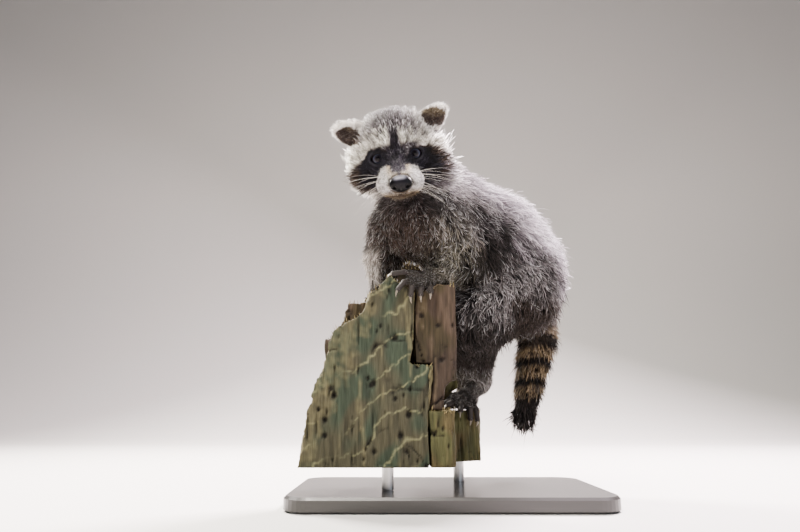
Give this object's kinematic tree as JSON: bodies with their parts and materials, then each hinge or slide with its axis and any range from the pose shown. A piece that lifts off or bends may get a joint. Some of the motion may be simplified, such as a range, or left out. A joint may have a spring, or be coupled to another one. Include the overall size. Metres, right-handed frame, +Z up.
{
  "type": "life-size raccoon kit on a broken stump",
  "caption": "Still life-size model of a young raccoon climbing on a broken stump, held by a plain display stand.",
  "frame": {"origin": "middle of the stand base's underside", "axes": "+Z up, -Y the side the kit faces, +X to its own left along the stand's length"},
  "size_m": [0.26, 0.191, 0.3375],
  "materials": {
    "coat_back": "grizzled grey-brown fur with pale guard-hair tips",
    "coat_face": "short fur with a black mask and cream brow bands",
    "coat_pale": "short cream-white fur",
    "coat_ear": "short fur with a pale rim",
    "coat_limb": "dark olive-grey fur",
    "paw": "short fur over bare dark skin, with horn claws",
    "coat_tail": "tan fur with dark rings",
    "eye": "wet dark brown eye",
    "nose": "moist pebbled black skin",
    "weathered_wood": "weathered wood green with algae",
    "heartwood": "fibrous brown rotten wood",
    "mossy_wood": "broken wood, yellow-green with algae",
    "stand_lacquer": "black satin lacquer on wood",
    "stand_steel": "satin steel rod"
  },
  "bodies": {
    "root": {"head": "coat_back", "neck": "coat_back", "trunk": "coat_back", "thigh_left": "coat_back", "thigh_right": "coat_back", "upper_arm_left": "coat_back", "upper_arm_right": "coat_back", "face": "coat_face", "muzzle": "coat_pale", "jaw": "coat_pale", "ear_left": "coat_ear", "ear_right": "coat_ear", "forearm_left": "coat_limb", "forearm_right": "coat_limb", "shank_left": "coat_limb", "shank_right": "coat_limb", "hand_left": "paw", "hand_right": "paw", "foot_left": "paw", "foot_right": "paw", "tail_base": "coat_tail", "tail_middle": "coat_tail", "tail_tip": "coat_tail", "eye_left": "eye", "eye_right": "eye", "nose": "nose", "perch_slab": "weathered_wood", "perch_heartwood": "heartwood", "perch_ledge": "mossy_wood", "stand_base": "stand_lacquer", "stand_rod_1": "stand_steel", "stand_rod_2": "stand_steel"}
  },
  "joints": []
}
